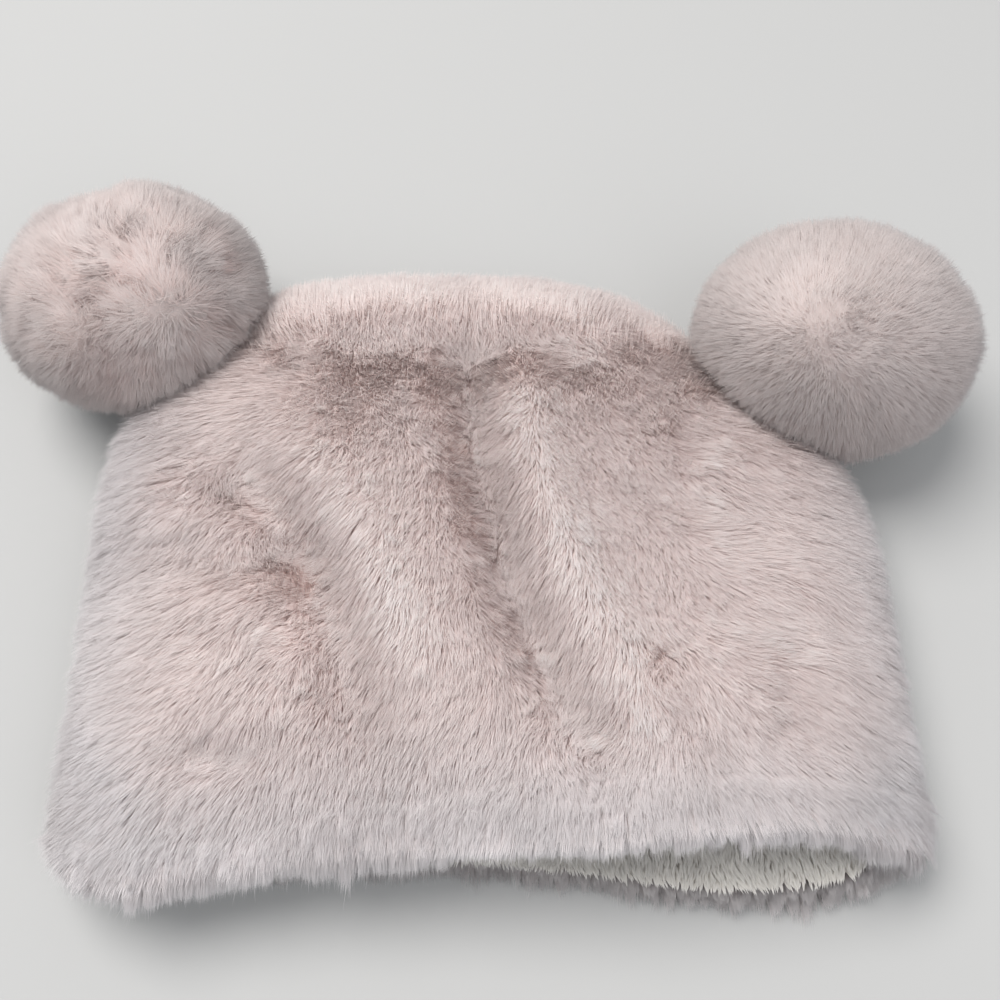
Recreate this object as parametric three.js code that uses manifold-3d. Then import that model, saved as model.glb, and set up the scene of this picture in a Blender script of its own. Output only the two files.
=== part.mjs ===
import * as THREE from 'three';
import { mergeVertices } from 'three/addons/utils/BufferGeometryUtils.js';
import Module from 'manifold-3d';

// A baby's fur hat with two pompom ears, lying flat: x runs across it,
// y from the brim edge to the crown end, and z up from the floor.

// Driving dimensions of the hat, in millimetres, over the fur tips
const half_width = 123;
const crown_length = 199;
const crown_rise = 30;
const seam_height = 14;
const hem_depth = 22;

// Cloth, pile and lining thicknesses
const pile_depth = 10;
const hide_thickness = 2;
const pressed_wall = 9;
const lining_thickness = 2.5;

// Locks of fur: how far their tips stand out, how unevenly, and how far they lean
const lock_height = 5;
const lock_unevenness = 0.25;
const lock_lean = 0.25;
const lock_least_height = 1.4;
const fringe_length = 7;
const hem_swell = 2;

// Pompom ears
const pompom_width = 92;
const pompom_length = 86;
const pompom_height = 70;
const pompom_lock = 7;
const pompom_detail = 3;

// Clearances: between cloth layers, along a sewn seam, and around an ear's seat
const layer_gap = 0.4;
const seam_gap = 0.3;
const seat_gap = 0.35;

// Roundness of a section above and below the side seam, and how flat it is pressed
const top_power = 2.5;
const bottom_power = 4.5;
const floor_press = 1.08;
const end_press = 1.9;

// How a fold fades: near the hat's edges, and at its own two ends
const fold_edge_fade = 1.5;
const fold_end_height = 0.35;

// Mesh rows and columns
const columns = 22;
const crown_rows = 16;
const hem_rows = 3;
const lining_first_row = 1;
const even_share = 0.6;
const fold_steps = 12;
const weld_distance = 1e-3;

// Sections of the crown: place along its length, the left and right sides as shares
// of the half width, and the rise of the upper layer as a share of the crown rise
const crown_sections = [
  { along: 0.00, left: -1.000, right: 0.956, rise: 0.80 },
  { along: 0.10, left: -1.010, right: 0.962, rise: 0.87 },
  { along: 0.25, left: -1.012, right: 0.962, rise: 0.95 },
  { along: 0.40, left: -1.028, right: 0.960, rise: 1.00 },
  { along: 0.50, left: -1.038, right: 0.955, rise: 1.02 },
  { along: 0.60, left: -1.041, right: 0.925, rise: 1.02 },
  { along: 0.70, left: -1.020, right: 0.820, rise: 1.00 },
  { along: 0.78, left: -0.925, right: 0.690, rise: 0.96 },
  { along: 0.86, left: -0.825, right: 0.565, rise: 0.90 },
  { along: 0.92, left: -0.750, right: 0.455, rise: 0.80 },
  { along: 0.965, left: -0.660, right: 0.320, rise: 0.62 },
  { along: 0.99, left: -0.520, right: 0.190, rise: 0.38 },
  { along: 1.00, left: -0.360, right: 0.050, rise: 0.00 },
];

// Brim: place across as a share of the half width, then the front edge, the back edge
// and the hem's crease as shares of the hem depth
const brim_line = [
  { across: -1.00, front: 0.14, back: 0.14, crease: 0.55 },
  { across: -0.93, front: -0.23, back: -0.14, crease: 0.50 },
  { across: -0.80, front: -0.39, back: -0.23, crease: 0.42 },
  { across: -0.60, front: -0.23, back: -0.10, crease: 0.41 },
  { across: -0.40, front: -0.07, back: -0.04, crease: 0.68 },
  { across: -0.10, front: 0.02, back: -0.02, crease: 0.90 },
  { across: 0.20, front: 0.02, back: -0.14, crease: 1.10 },
  { across: 0.40, front: 0.14, back: -0.28, crease: 1.12 },
  { across: 0.60, front: 0.23, back: -0.37, crease: 1.08 },
  { across: 0.75, front: 0.25, back: -0.34, crease: 1.05 },
  { across: 0.88, front: 0.11, back: -0.25, crease: 1.00 },
  { across: 1.00, front: 0.05, back: 0.05, crease: 0.95 },
];

// Folds of the upper layer: three points of each line as shares of the half width and
// the length, its spread as a share of the half width, its height as a share of the rise
const folds = [
  { name: 'main valley', spread: 0.085, height: -0.27,
    from: [-0.07, 0.84], by: [0.00, 0.475], to: [0.23, 0.14] },
  { name: 'main ridge', spread: 0.10, height: 0.16,
    from: [0.05, 0.80], by: [0.12, 0.46], to: [0.34, 0.18] },
  { name: 'left valley', spread: 0.10, height: -0.22,
    from: [-0.66, 0.60], by: [-0.42, 0.41], to: [-0.29, 0.17] },
  { name: 'left ridge', spread: 0.10, height: 0.14,
    from: [-0.49, 0.62], by: [-0.31, 0.415], to: [-0.20, 0.24] },
  { name: 'crown valley', spread: 0.06, height: -0.08,
    from: [-0.45, 0.80], by: [-0.20, 0.808], to: [0.26, 0.795] },
  { name: 'crown roll', spread: 0.08, height: 0.07,
    from: [-0.53, 0.865], by: [-0.10, 0.875], to: [0.32, 0.845] },
  { name: 'left dent', spread: 0.05, height: -0.10,
    from: [-0.77, 0.44], by: [-0.58, 0.43], to: [-0.40, 0.443] },
  { name: 'left bulge', spread: 0.10, height: 0.08,
    from: [-0.82, 0.60], by: [-0.80, 0.53], to: [-0.79, 0.47] },
  { name: 'low left crease', spread: 0.05, height: -0.10,
    from: [-0.72, 0.155], by: [-0.62, 0.153], to: [-0.53, 0.158] },
  { name: 'right crease', spread: 0.06, height: -0.12,
    from: [0.36, 0.545], by: [0.51, 0.512], to: [0.66, 0.46] },
  { name: 'right lump', spread: 0.12, height: 0.12,
    from: [0.42, 0.29], by: [0.51, 0.24], to: [0.61, 0.21] },
  { name: 'brim droop', spread: 0.28, height: -0.15,
    from: [-0.80, 0.00], by: [-0.45, 0.00], to: [-0.10, 0.01] },
  { name: 'brim arch', spread: 0.24, height: 0.13,
    from: [0.20, 0.00], by: [0.55, 0.00], to: [0.85, 0.01] },
];

// Ears: place as shares of the half width and the length, and width as a share of the
// pompom width
const ears = [
  { name: 'pompom_left', across: -0.985, along: 0.90, width: 0.98 },
  { name: 'pompom_right', across: 0.88, along: 0.816, width: 1.03 },
];

// Wall thicknesses that follow from the sizes above
const fur_wall = pile_depth + hide_thickness;
const lining_outer = fur_wall + layer_gap;
const lining_inner = lining_outer + lining_thickness;
const lining_floor = pressed_wall + layer_gap;

// Value of a table's column at a place along its key column, on a smooth monotone curve
function table_value(table, key, column, at) {
  const last = table.length - 1;
  const place = Math.min(Math.max(at, table[0][key]), table[last][key]);
  let row = 0;
  while (row < last - 1 && table[row + 1][key] < place) row += 1;
  const slope = (i) => (table[i + 1][column] - table[i][column]) / (table[i + 1][key] - table[i][key]);
  const tangent = (i) => {
    if (i === 0) return slope(0);
    if (i === last) return slope(last - 1);
    const product = slope(i - 1) * slope(i);
    return product <= 0 ? 0 : 2 * product / (slope(i - 1) + slope(i));
  };
  const step = table[row + 1][key] - table[row][key];
  const t = (place - table[row][key]) / step;
  const rising = t * t * (3 - 2 * t);
  const bend = t * (1 - t) * step * ((1 - t) * tangent(row) - t * tangent(row + 1));
  return table[row][column] * (1 - rising) + table[row + 1][column] * rising + bend;
}

// Spacing that is even over most of 0 to 1 and closes up quadratically towards 1
function close_up(t) {
  const curve = 1 / (1 - even_share * even_share);
  return t < even_share ? 2 * curve * (1 - even_share) * t : 1 - curve * (1 - t) ** 2;
}

// Repeatable unevenness between 0 and 1 for one lock
function uneven(i, j) {
  const wave = Math.sin(12.9898 * i + 78.233 * j) * 43.7585;
  return wave - Math.floor(wave);
}

// Place across a section, from -1 at the left side to 1 at the right
function across_at(column) {
  const share = 2 * column / columns - 1;
  return Math.sign(share) * close_up(Math.abs(share));
}

// Distance along the hat of a row, for a skin that lies inset behind the fur tips: rows
// 0 to hem_rows cross the hem, the rest run from its crease to the crown end
function along_at(across, row, inset, side) {
  const crease = hem_depth * table_value(brim_line, 'across', 'crease', across);
  if (row < hem_rows) {
    const edge = hem_depth * table_value(brim_line, 'across', side, across) + fringe_length;
    return edge + (crease - seam_gap / 2 - edge) * Math.max(row, 0) / hem_rows;
  }
  const start = crease + seam_gap / 2;
  return start + (crown_length - inset - start) * close_up((row - hem_rows) / crown_rows);
}

// Height that the folds add to the upper layer above a point of the floor
function fold_height(x, y) {
  let height = 0;
  for (const fold of folds) {
    let nearest = Infinity;
    let place = 0;
    for (let step = 0; step <= fold_steps; step += 1) {
      const t = step / fold_steps;
      const blend = (k) => (1 - t) * (1 - 2 * t) * fold.from[k] + 4 * t * (1 - t) * fold.by[k]
        + t * (2 * t - 1) * fold.to[k];
      const distance = Math.hypot(x - blend(0) * half_width, y - blend(1) * crown_length);
      if (distance < nearest) {
        nearest = distance;
        place = t;
      }
    }
    const fullness = fold_end_height + (1 - fold_end_height) * Math.sqrt(4 * place * (1 - place));
    const across_fold = Math.exp(-((nearest / (fold.spread * half_width)) ** 2));
    height += fold.height * crown_rise * fullness * across_fold;
  }
  return height;
}

// Point of a skin of the hat. inset is its depth behind the fur tips at the sides and
// above, and floor is its height where the lower layer is pressed on the floor.
function hat_point(across, row, inset, floor, side) {
  const y = along_at(across, row, inset, side);
  const tip_y = along_at(across, row, 0, side);
  const place = tip_y / crown_length;
  const left = table_value(crown_sections, 'along', 'left', place);
  const right = table_value(crown_sections, 'along', 'right', place);
  const rise = table_value(crown_sections, 'along', 'rise', place);
  const middle = half_width * (left + right) / 2;
  const reach = half_width * (right - left) / 2;
  const x = middle + reach * across * (1 - inset / half_width);
  const bulge = (power) => (1 - Math.abs(across) ** power) ** (1 / power);
  if (side === 'front') {
    const swell = Math.min(1, fold_edge_fade * rise * bulge(top_power));
    const folded = swell * fold_height(middle + reach * across, tip_y);
    return [x, y, seam_height + (crown_rise - inset) * rise * bulge(top_power) + folded];
  }
  const pressed = Math.min(1, floor_press * bulge(bottom_power)) * Math.min(1, end_press * rise);
  return [x, y, seam_height - (seam_height - floor) * pressed];
}

// Grid of points of one side of the hat between two rows
function hat_grid(first_row, last_row, inset, floor, side) {
  const grid = [];
  for (let row = first_row; row <= last_row; row += 1) {
    const line = [];
    for (let column = 0; column <= columns; column += 1) {
      const swell = row < hem_rows && inset < fur_wall ? hem_swell * Math.sin(Math.PI * row / hem_rows) : 0;
      line.push(hat_point(across_at(column), row, inset - swell, floor, side));
    }
    grid.push(line);
  }
  return grid;
}

// Tip of the lock that grows from one cell of a side's grid, leaning to the brim and out
function lock_tip(column, row, grow, side) {
  const lean = Math.sign(column + 0.5 - columns / 2) * lock_lean;
  const across = (across_at(column) + across_at(column + 1)) / 2
    + lean * Math.abs(across_at(column + 1) - across_at(column)) / 2;
  const swell = row < hem_rows ? hem_swell * Math.sin(Math.PI * (row + 0.5) / hem_rows) : 0;
  const inset = lock_height * lock_unevenness * uneven(column, row) - swell - grow;
  return hat_point(across, row + 0.5 - lock_lean, inset, -grow, side);
}

// A closed body gathered from loose triangles
class Body {
  constructor() {
    this.corners = [];
  }

  triangle(a, b, c) {
    this.corners.push(...a, ...b, ...c);
  }

  quad(a, b, c, d) {
    this.triangle(a, b, c);
    this.triangle(a, c, d);
  }

  // Four triangles that meet in a lock's tip over a quad
  lock(a, b, c, d, tip) {
    this.triangle(a, b, tip);
    this.triangle(b, c, tip);
    this.triangle(c, d, tip);
    this.triangle(d, a, tip);
  }

  // Skin over a grid: facing up for the front side, down for the back, or turned over
  skin(grid, up, tips) {
    for (let row = 0; row + 1 < grid.length; row += 1) {
      for (let column = 0; column < columns; column += 1) {
        const [near, far] = [grid[row], grid[row + 1]];
        const cell = [near[column], near[column + 1], far[column + 1], far[column]];
        if (!up) [cell[1], cell[3]] = [cell[3], cell[1]];
        const tip = tips ? tips(column, row) : null;
        if (tip) this.lock(...cell, tip);
        else this.quad(...cell);
      }
    }
  }

  // Band between two lines of points, optionally with a lock on each quad
  band(line_a, line_b, tip_shift) {
    for (let i = 0; i + 1 < line_a.length; i += 1) {
      const cell = [line_a[i], line_a[i + 1], line_b[i + 1], line_b[i]];
      if (tip_shift) {
        const tip = [0, 1, 2].map((k) => cell.reduce((sum, p) => sum + p[k], 0) / 4 + tip_shift[k]);
        this.lock(...cell, tip);
      } else {
        this.quad(...cell);
      }
    }
  }

  geometry() {
    const soup = new THREE.BufferGeometry();
    soup.setAttribute('position', new THREE.Float32BufferAttribute(this.corners, 3));
    const merged = mergeVertices(soup, weld_distance);
    const index = merged.getIndex().array;
    const kept = [];
    for (let i = 0; i < index.length; i += 3) {
      const [a, b, c] = [index[i], index[i + 1], index[i + 2]];
      if (a !== b && b !== c && c !== a) kept.push(a, b, c);
    }
    merged.setIndex(kept);
    return merged;
  }
}

// Lines around the rim of a panel's grid, and around the mouth of a front and back pair
function rim_line(grid) {
  const left = grid.map((line) => line[0]);
  const right = grid.map((line) => line[columns]);
  const end = grid[grid.length - 1];
  return [...grid[0], ...right.slice(1), ...[...end].reverse().slice(1), ...left.reverse().slice(1)];
}

function mouth_line(front, back, row) {
  return [...front[row], ...[...back[row]].reverse().slice(1)];
}

// Locks over one side; a cell that is pressed on the floor has none
function side_tips(first_row, grow, side) {
  return (column, row) => {
    const tip = lock_tip(column, row + first_row, grow, side);
    return side === 'front' || tip[2] > lock_least_height ? tip : null;
  };
}

// One fur panel of the crown: locks outside, backing inside, cut off flat at the seam
function panel_geometry(side) {
  const up = side === 'front';
  const last_row = hem_rows + crown_rows;
  const cut = ([x, y, z]) => (up
    ? [x, y, Math.max(z, seam_height + seam_gap / 2)]
    : [x, y, Math.min(z, seam_height - seam_gap / 2)]);
  const cut_grid = (grid) => grid.map((line) => line.map(cut));
  const outer = cut_grid(hat_grid(hem_rows, last_row, lock_height, 0, side));
  const inner = cut_grid(hat_grid(hem_rows, last_row, fur_wall, pressed_wall, side));
  const body = new Body();
  body.skin(outer, up, side_tips(hem_rows, 0, side));
  body.skin(inner, !up);
  if (up) body.band(rim_line(inner), rim_line(outer));
  else body.band(rim_line(outer), rim_line(inner));
  return body.geometry();
}

// The turned hem: a ring of fur around the brim with a fringe of locks at its edge
function hem_geometry() {
  const body = new Body();
  const skins = (inset, floor) => ({
    front: hat_grid(0, hem_rows, inset, floor, 'front'),
    back: hat_grid(0, hem_rows, inset, floor, 'back'),
  });
  const outer = skins(lock_height, 0);
  const inner = skins(fur_wall, pressed_wall);
  const ends = [outer, inner].flatMap((grids) => [grids.front[hem_rows], grids.back[hem_rows]]);
  for (const line of ends) for (const point of line) point[1] -= seam_gap;
  body.skin(outer.front, true, side_tips(0, 0, 'front'));
  body.skin(outer.back, false, side_tips(0, 0, 'back'));
  body.skin(inner.front, false);
  body.skin(inner.back, true);
  const around = (grids, row) => mouth_line(grids.front, grids.back, row);
  body.band(around(inner, 0), around(outer, 0), [0, -fringe_length, 0]);
  body.band(around(outer, hem_rows), around(inner, hem_rows));
  return body.geometry();
}

// The fleece lining: a pocket that follows the inside of hem and panels
function lining_geometry() {
  const body = new Body();
  const last_row = hem_rows + crown_rows;
  const skin = (inset, floor) => ({
    front: hat_grid(lining_first_row, last_row, inset, floor, 'front'),
    back: hat_grid(lining_first_row, last_row, inset, floor, 'back'),
  });
  const outer = skin(lining_outer, lining_floor);
  const inner = skin(lining_inner, lining_floor + lining_thickness);
  body.skin(outer.front, true);
  body.skin(outer.back, false);
  body.skin(inner.front, false);
  body.skin(inner.back, true);
  body.band(mouth_line(inner.front, inner.back, 0), mouth_line(outer.front, outer.back, 0));
  return body.geometry();
}

// The crown's outer form grown by the seat clearance, to cut the ears' seats
function seat_cutter_geometry() {
  const body = new Body();
  const last_row = hem_rows + crown_rows;
  const inset = lock_height - seat_gap;
  const front = hat_grid(hem_rows, last_row, inset, -seat_gap, 'front');
  const back = hat_grid(hem_rows, last_row, inset, -seat_gap, 'back');
  body.skin(front, true, side_tips(hem_rows, seat_gap, 'front'));
  body.skin(back, false, side_tips(hem_rows, seat_gap, 'back'));
  const middle = Math.floor(columns / 2);
  for (let column = 0; column < columns; column += 1) {
    body.triangle(back[0][middle], front[0][column + 1], front[0][column]);
    body.triangle(back[0][middle], back[0][column], back[0][column + 1]);
  }
  return body.geometry();
}

// A ball of fur: an icosahedron's faces drawn out into locks on an ellipsoid
function pompom_geometry(ear) {
  const ball = new THREE.IcosahedronGeometry(1, pompom_detail);
  ball.deleteAttribute('normal');
  ball.deleteAttribute('uv');
  const sphere = mergeVertices(ball, weld_distance);
  const radii = [ear.width * pompom_width / 2, pompom_length / 2, pompom_height / 2];
  const centre = [ear.across * half_width, ear.along * crown_length, pompom_height / 2];
  const points = sphere.getAttribute('position');
  const index = sphere.getIndex().array;
  const spot = (direction, depth) => direction.toArray().map((d, k) => centre[k] + d * (radii[k] - depth));
  const body = new Body();
  for (let i = 0; i < index.length; i += 3) {
    const corners = [0, 1, 2].map((k) => new THREE.Vector3().fromBufferAttribute(points, index[i + k]));
    const out = corners[0].clone().add(corners[1]).add(corners[2]).normalize();
    const tip = spot(out, pompom_lock * lock_unevenness * uneven(i, 0));
    const base = corners.map((corner) => spot(corner, pompom_lock));
    for (let k = 0; k < 3; k += 1) body.triangle(base[k], base[(k + 1) % 3], tip);
  }
  return body.geometry();
}

// The part of the floor under an ear, as a block, to press the ear's underside flat
function floor_geometry(ear) {
  const block = new THREE.BoxGeometry(2 * pompom_width, 2 * pompom_length, pompom_height);
  block.translate(ear.across * half_width, ear.along * crown_length, -pompom_height / 2);
  block.deleteAttribute('normal');
  block.deleteAttribute('uv');
  return mergeVertices(block, weld_distance);
}

const wasm = await Module();
wasm.setup();

function solid_of(geometry) {
  return new wasm.Manifold(new wasm.Mesh({
    numProp: 3,
    vertProperties: new Float32Array(geometry.getAttribute('position').array),
    triVerts: new Uint32Array(geometry.getIndex().array),
  }));
}

function geometry_of(solid) {
  const mesh = solid.getMesh();
  const geometry = new THREE.BufferGeometry();
  geometry.setAttribute('position', new THREE.Float32BufferAttribute(mesh.vertProperties, 3));
  geometry.setIndex(new THREE.Uint32BufferAttribute(mesh.triVerts, 1));
  return geometry;
}

// An ear seated against the crown and pressed on the floor
function ear_geometry(ear, cutter) {
  const ball = solid_of(pompom_geometry(ear));
  return geometry_of(ball.subtract(cutter).subtract(solid_of(floor_geometry(ear))));
}

const fur = new THREE.MeshStandardMaterial({ color: 0xe2cdc9, roughness: 0.95, metalness: 0 });
const ear_fur = new THREE.MeshStandardMaterial({ color: 0xdfcecb, roughness: 0.95, metalness: 0 });
const fleece = new THREE.MeshStandardMaterial({ color: 0xd9d4c8, roughness: 1, metalness: 0 });
for (const material of [fur, ear_fur, fleece]) material.flatShading = true;

function named_mesh(name, geometry, material) {
  const mesh = new THREE.Mesh(geometry, material);
  mesh.name = name;
  return mesh;
}

const hat = new THREE.Group();
hat.add(named_mesh('front_panel', panel_geometry('front'), fur));
hat.add(named_mesh('back_panel', panel_geometry('back'), fur));
hat.add(named_mesh('hem_band', hem_geometry(), fur));
hat.add(named_mesh('lining', lining_geometry(), fleece));
const seat_cutter = solid_of(seat_cutter_geometry());
for (const ear of ears) {
  hat.add(named_mesh(ear.name, ear_geometry(ear, seat_cutter), ear_fur));
}

// The origin is the middle of the hat's underside
const box = new THREE.Box3().setFromObject(hat, true);
hat.position.set(-(box.min.x + box.max.x) / 2, -(box.min.y + box.max.y) / 2, -box.min.z);

export default hat;
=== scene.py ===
import math

import bpy
import numpy as np
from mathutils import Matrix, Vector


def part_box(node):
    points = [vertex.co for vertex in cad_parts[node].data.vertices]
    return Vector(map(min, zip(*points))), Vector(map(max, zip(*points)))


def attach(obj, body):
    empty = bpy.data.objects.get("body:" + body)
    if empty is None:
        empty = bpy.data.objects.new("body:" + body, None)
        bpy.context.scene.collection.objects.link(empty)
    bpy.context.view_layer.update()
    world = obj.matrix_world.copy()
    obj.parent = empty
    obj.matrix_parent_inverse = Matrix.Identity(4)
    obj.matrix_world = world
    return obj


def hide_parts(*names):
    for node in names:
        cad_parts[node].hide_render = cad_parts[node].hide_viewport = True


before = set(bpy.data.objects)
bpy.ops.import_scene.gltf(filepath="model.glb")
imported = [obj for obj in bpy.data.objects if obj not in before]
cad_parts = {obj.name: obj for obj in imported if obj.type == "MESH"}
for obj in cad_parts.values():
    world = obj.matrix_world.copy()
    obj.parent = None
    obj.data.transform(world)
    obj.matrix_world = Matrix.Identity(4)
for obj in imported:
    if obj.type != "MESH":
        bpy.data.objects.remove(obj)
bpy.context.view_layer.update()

# Sizes of the hat in millimetres, over the fur tips. x runs across the hat, y from the
# brim edge to the crown end, and z up from the floor.
MM = 0.001
HALF_WIDTH = 123.0
CROWN_LENGTH = 199.0
CROWN_RISE = 30.0
SEAM_HEIGHT = 14.0
HEM_DEPTH = 22.0
FUR_WALL = 12.0
PRESSED_WALL = 9.0
LINING_OUTER = 12.4
LINING_INNER = 14.9
LINING_FLOOR = 9.4
LINING_THICKNESS = 2.5
HEM_SWELL = 0.5
TOP_POWER = 2.5
BOTTOM_POWER = 4.5
FLOOR_PRESS = 1.08
END_PRESS = 1.9
FOLD_EDGE_FADE = 1.5
FOLD_END_HEIGHT = 0.35
POMPOM_WIDTH = 92.0
POMPOM_LENGTH = 86.0
POMPOM_HEIGHT = 70.0

# Depths below the fur tips at which strands and hides start, how far the hides' edges stand
# behind the brim, and the least height of anything above the floor
ROOT_DEPTH = 4.4
HIDE_DEPTH = 4.0
ROOT_FLOOR = 1.3
FRINGE_SETBACK = 7.5
LINING_SETBACK = 5.0
LINING_START = 0.08
POMPOM_ROOT_DEPTH = 12.0
LEAST_HEIGHT = 0.25

# Numbers of strands
FRONT_STRANDS = 146000
BACK_STRANDS = 60000
HEM_STRANDS = {"front": 46000, "back": 22000}
FRINGE_STRANDS = 32000
FLEECE_STRANDS = {"front": 8000, "back": 22000}
POMPOM_STRANDS = 100000

# Half widths of strands, the pile's height, the share of strands that stand upright as
# underfur, and the sizes of the clumps that strands join
FRONT_STRAND = 0.145
BACK_STRAND = 0.19
HEM_STRAND = 0.13
FLEECE_STRAND = 0.28
POMPOM_STRAND = 0.155
PILE_HEIGHT = 4.4
UNDERFUR_SHARE = 0.16
CLUMP = 4.8
BIG_CLUMP = 11.0
POMPOM_CLUMP = 4.2

# Sections of the crown: place along it, the sides as shares of the half width, and the
# rise as a share of the crown rise
CROWN_SECTIONS = [
    {"along": 0.00, "left": -1.000, "right": 0.956, "rise": 0.80},
    {"along": 0.10, "left": -1.010, "right": 0.962, "rise": 0.87},
    {"along": 0.25, "left": -1.012, "right": 0.962, "rise": 0.95},
    {"along": 0.40, "left": -1.028, "right": 0.960, "rise": 1.00},
    {"along": 0.50, "left": -1.038, "right": 0.955, "rise": 1.02},
    {"along": 0.60, "left": -1.041, "right": 0.925, "rise": 1.02},
    {"along": 0.70, "left": -1.020, "right": 0.820, "rise": 1.00},
    {"along": 0.78, "left": -0.925, "right": 0.690, "rise": 0.96},
    {"along": 0.86, "left": -0.825, "right": 0.565, "rise": 0.90},
    {"along": 0.92, "left": -0.750, "right": 0.455, "rise": 0.80},
    {"along": 0.965, "left": -0.660, "right": 0.320, "rise": 0.62},
    {"along": 0.99, "left": -0.520, "right": 0.190, "rise": 0.38},
    {"along": 1.00, "left": -0.360, "right": 0.050, "rise": 0.00},
]

# Brim: place across, then front edge, back edge and hem crease as shares of the hem depth
BRIM_LINE = [
    {"across": -1.00, "front": 0.14, "back": 0.14, "crease": 0.55},
    {"across": -0.93, "front": -0.23, "back": -0.14, "crease": 0.50},
    {"across": -0.80, "front": -0.39, "back": -0.23, "crease": 0.42},
    {"across": -0.60, "front": -0.23, "back": -0.10, "crease": 0.41},
    {"across": -0.40, "front": -0.07, "back": -0.04, "crease": 0.68},
    {"across": -0.10, "front": 0.02, "back": -0.02, "crease": 0.90},
    {"across": 0.20, "front": 0.02, "back": -0.14, "crease": 1.10},
    {"across": 0.40, "front": 0.14, "back": -0.28, "crease": 1.12},
    {"across": 0.60, "front": 0.23, "back": -0.37, "crease": 1.08},
    {"across": 0.75, "front": 0.25, "back": -0.34, "crease": 1.05},
    {"across": 0.88, "front": 0.11, "back": -0.25, "crease": 1.00},
    {"across": 1.00, "front": 0.05, "back": 0.05, "crease": 0.95},
]

# Folds of the upper layer: three points of each line, its spread as a share of the half
# width and its height as a share of the crown rise
FOLDS = [
    {"line": [(-0.07, 0.84), (0.00, 0.475), (0.23, 0.14)], "spread": 0.085, "height": -0.27},
    {"line": [(0.05, 0.80), (0.12, 0.46), (0.34, 0.18)], "spread": 0.10, "height": 0.16},
    {"line": [(-0.66, 0.60), (-0.42, 0.41), (-0.29, 0.17)], "spread": 0.10, "height": -0.22},
    {"line": [(-0.49, 0.62), (-0.31, 0.415), (-0.20, 0.24)], "spread": 0.10, "height": 0.14},
    {"line": [(-0.45, 0.80), (-0.20, 0.808), (0.26, 0.795)], "spread": 0.09, "height": -0.06},
    {"line": [(-0.53, 0.865), (-0.10, 0.875), (0.32, 0.845)], "spread": 0.08, "height": 0.07},
    {"line": [(-0.77, 0.44), (-0.58, 0.43), (-0.40, 0.443)], "spread": 0.08, "height": -0.08},
    {"line": [(-0.82, 0.60), (-0.80, 0.53), (-0.79, 0.47)], "spread": 0.10, "height": 0.08},
    {"line": [(-0.72, 0.155), (-0.62, 0.153), (-0.53, 0.158)], "spread": 0.05, "height": -0.10},
    {"line": [(0.36, 0.545), (0.51, 0.512), (0.66, 0.46)], "spread": 0.07, "height": -0.08},
    {"line": [(0.42, 0.29), (0.51, 0.24), (0.61, 0.21)], "spread": 0.12, "height": 0.12},
    {"line": [(-0.80, 0.00), (-0.45, 0.00), (-0.10, 0.01)], "spread": 0.28, "height": -0.15},
    {"line": [(0.20, 0.00), (0.55, 0.00), (0.85, 0.01)], "spread": 0.24, "height": 0.13},
]

# Places where the pile is ruffled and shows its pinker depth, darkened with painted shade: three points of
# each line, half width in millimetres, how far it is ruffled and painted with shade, and how far the pile
# is matted
RUFFLES = [
    {"line": [(-0.158, 0.80), (-0.10, 0.55), (0.045, 0.29)],
     "width": 11.0, "ruffle_and_shade": 0.42, "matted": 0.5},
    {"line": [(-0.58, 0.54), (-0.475, 0.42), (-0.38, 0.22)],
     "width": 12.0, "ruffle_and_shade": 0.65, "matted": 0.4},
    {"line": [(-0.781, 0.443), (-0.644, 0.427), (-0.493, 0.435)],
     "width": 7.0, "ruffle_and_shade": 0.40, "matted": 0.9},
    {"line": [(-0.55, 0.79), (-0.452, 0.743), (-0.354, 0.676)],
     "width": 16.0, "ruffle_and_shade": 0.45, "matted": 0.9},
    {"line": [(0.104, 0.782), (0.231, 0.723), (0.377, 0.658)],
     "width": 10.0, "ruffle_and_shade": 0.35, "matted": 0.4},
    {"line": [(0.37, 0.595), (0.465, 0.568), (0.562, 0.492)],
     "width": 7.0, "ruffle_and_shade": 0.45, "matted": 0.35},
    {"line": [(0.347, 0.275), (0.346, 0.261), (0.364, 0.212)],
     "width": 5.0, "ruffle_and_shade": 0.60, "matted": 0.7},
    {"line": [(0.363, 0.204), (0.388, 0.182), (0.429, 0.167)],
     "width": 5.0, "ruffle_and_shade": 0.50, "matted": 0.7},
    {"line": [(0.588, 0.288), (0.571, 0.257), (0.558, 0.212)],
     "width": 5.0, "ruffle_and_shade": 0.50, "matted": 0.7},
    {"line": [(0.557, 0.208), (0.584, 0.191), (0.619, 0.177)],
     "width": 5.0, "ruffle_and_shade": 0.45, "matted": 0.7},
    {"line": [(0.224, 0.151), (0.240, 0.167), (0.270, 0.191)],
     "width": 6.0, "ruffle_and_shade": 0.65, "matted": 0.6},
    {"line": [(-0.714, 0.151), (-0.641, 0.158), (-0.555, 0.155)],
     "width": 6.0, "ruffle_and_shade": 0.40, "matted": 0.5},
    {"line": [(-0.822, 0.554), (-0.804, 0.534), (-0.79, 0.517)],
     "width": 6.0, "ruffle_and_shade": 0.45, "matted": 0.5},
]

# Ears: place as shares of the half width and length, width as a share of the pompom's, the
# direction of the crown of its pile, and how far the pile is matted there
EARS = {
    "pompom_left": {
        "across": -0.985,
        "along": 0.90,
        "width": 0.98,
        "pole": (0.32, -0.50, 0.80),
        "matted": 1.0,
    },
    "pompom_right": {
        "across": 0.88,
        "along": 0.816,
        "width": 1.03,
        "pole": (-0.38, -0.52, 0.77),
        "matted": 0.0,
    },
}


def column_of(table, name):
    return np.array([row[name] for row in table], float)


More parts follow.
